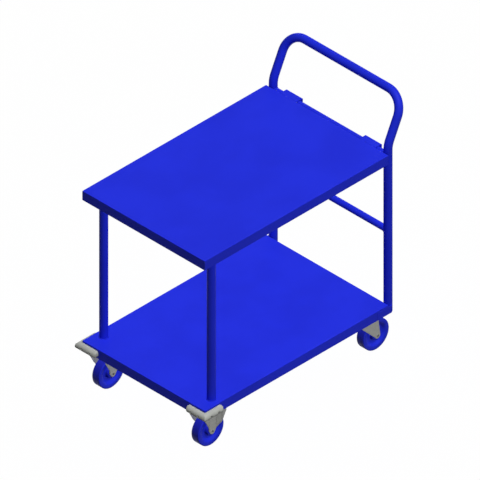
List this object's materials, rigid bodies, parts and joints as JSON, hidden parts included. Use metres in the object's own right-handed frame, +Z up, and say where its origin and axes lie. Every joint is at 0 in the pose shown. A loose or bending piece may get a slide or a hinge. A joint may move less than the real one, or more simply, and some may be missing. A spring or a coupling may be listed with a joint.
{
  "type": "shelf cart",
  "caption": "Steel shelf cart: folded sheet decks one above the other, bent-tube push handle, posts in front, fixed front casters, swivel rear casters and corner bumpers.",
  "frame": {"origin": "on the floor, under the middle of the cart's bounding box", "axes": "+X forward, away from the push handle; +Y to the left of the person who pushes; +Z up"},
  "size_m": [1.0306, 0.6394, 1.04],
  "materials": {
    "frame_paint": "smooth blue powder coat",
    "zinc": "dull grey plated pressed steel",
    "wheel_plastic": "satin blue moulded plastic",
    "bumper_rubber": "matte light grey moulded rubber",
    "plug_plastic": "matte black plastic"
  },
  "bodies": {
    "frame": {"lower_deck": "frame_paint", "upper_deck": "frame_paint", "lower_deck_stiffener": "frame_paint", "upper_deck_stiffener": "frame_paint", "front_caster_channel": "frame_paint", "rear_caster_channel": "frame_paint", "handle_tube": "frame_paint", "handle_end_plugs": "plug_plastic", "upper_cross_tube": "frame_paint", "lower_cross_tube": "frame_paint", "handle_foot_left": "frame_paint", "handle_foot_right": "frame_paint", "deck_hook_left": "frame_paint", "deck_hook_right": "frame_paint", "front_post_left": "frame_paint", "front_post_right": "frame_paint", "post_spigots": "frame_paint", "corner_bumper_left": "bumper_rubber", "corner_bumper_right": "bumper_rubber", "front_fork_left": "zinc", "front_fork_right": "zinc", "swivel_heads": "zinc"},
    "rear_left_swivel": {"rear_fork_left": "zinc"},
    "rear_right_swivel": {"rear_fork_right": "zinc"},
    "front_left_wheel": {"front_left_wheel": "wheel_plastic"},
    "front_right_wheel": {"front_right_wheel": "wheel_plastic"},
    "rear_left_wheel": {"rear_left_wheel": "wheel_plastic"},
    "rear_right_wheel": {"rear_right_wheel": "wheel_plastic"}
  },
  "joints": [
    {"name": "front_left_wheel_spin", "type": "hinge", "parent": "frame", "child": "front_left_wheel", "pos_m": [0.42515, 0.243, 0.0625], "axis": [0, 1, 0], "continuous": true},
    {"name": "front_right_wheel_spin", "type": "hinge", "parent": "frame", "child": "front_right_wheel", "pos_m": [0.42515, -0.243, 0.0625], "axis": [0, 1, 0], "continuous": true},
    {"name": "rear_left_swivel_turn", "type": "hinge", "parent": "frame", "child": "rear_left_swivel", "pos_m": [-0.34285, 0.243, 0.147], "axis": [0, 0, 1], "continuous": true},
    {"name": "rear_left_wheel_spin", "type": "hinge", "parent": "rear_left_swivel", "child": "rear_left_wheel", "pos_m": [-0.38385, 0.243, 0.0625], "axis": [0, 1, 0], "continuous": true},
    {"name": "rear_right_swivel_turn", "type": "hinge", "parent": "frame", "child": "rear_right_swivel", "pos_m": [-0.34285, -0.243, 0.147], "axis": [0, 0, 1], "continuous": true},
    {"name": "rear_right_wheel_spin", "type": "hinge", "parent": "rear_right_swivel", "child": "rear_right_wheel", "pos_m": [-0.38385, -0.243, 0.0625], "axis": [0, 1, 0], "continuous": true}
  ]
}
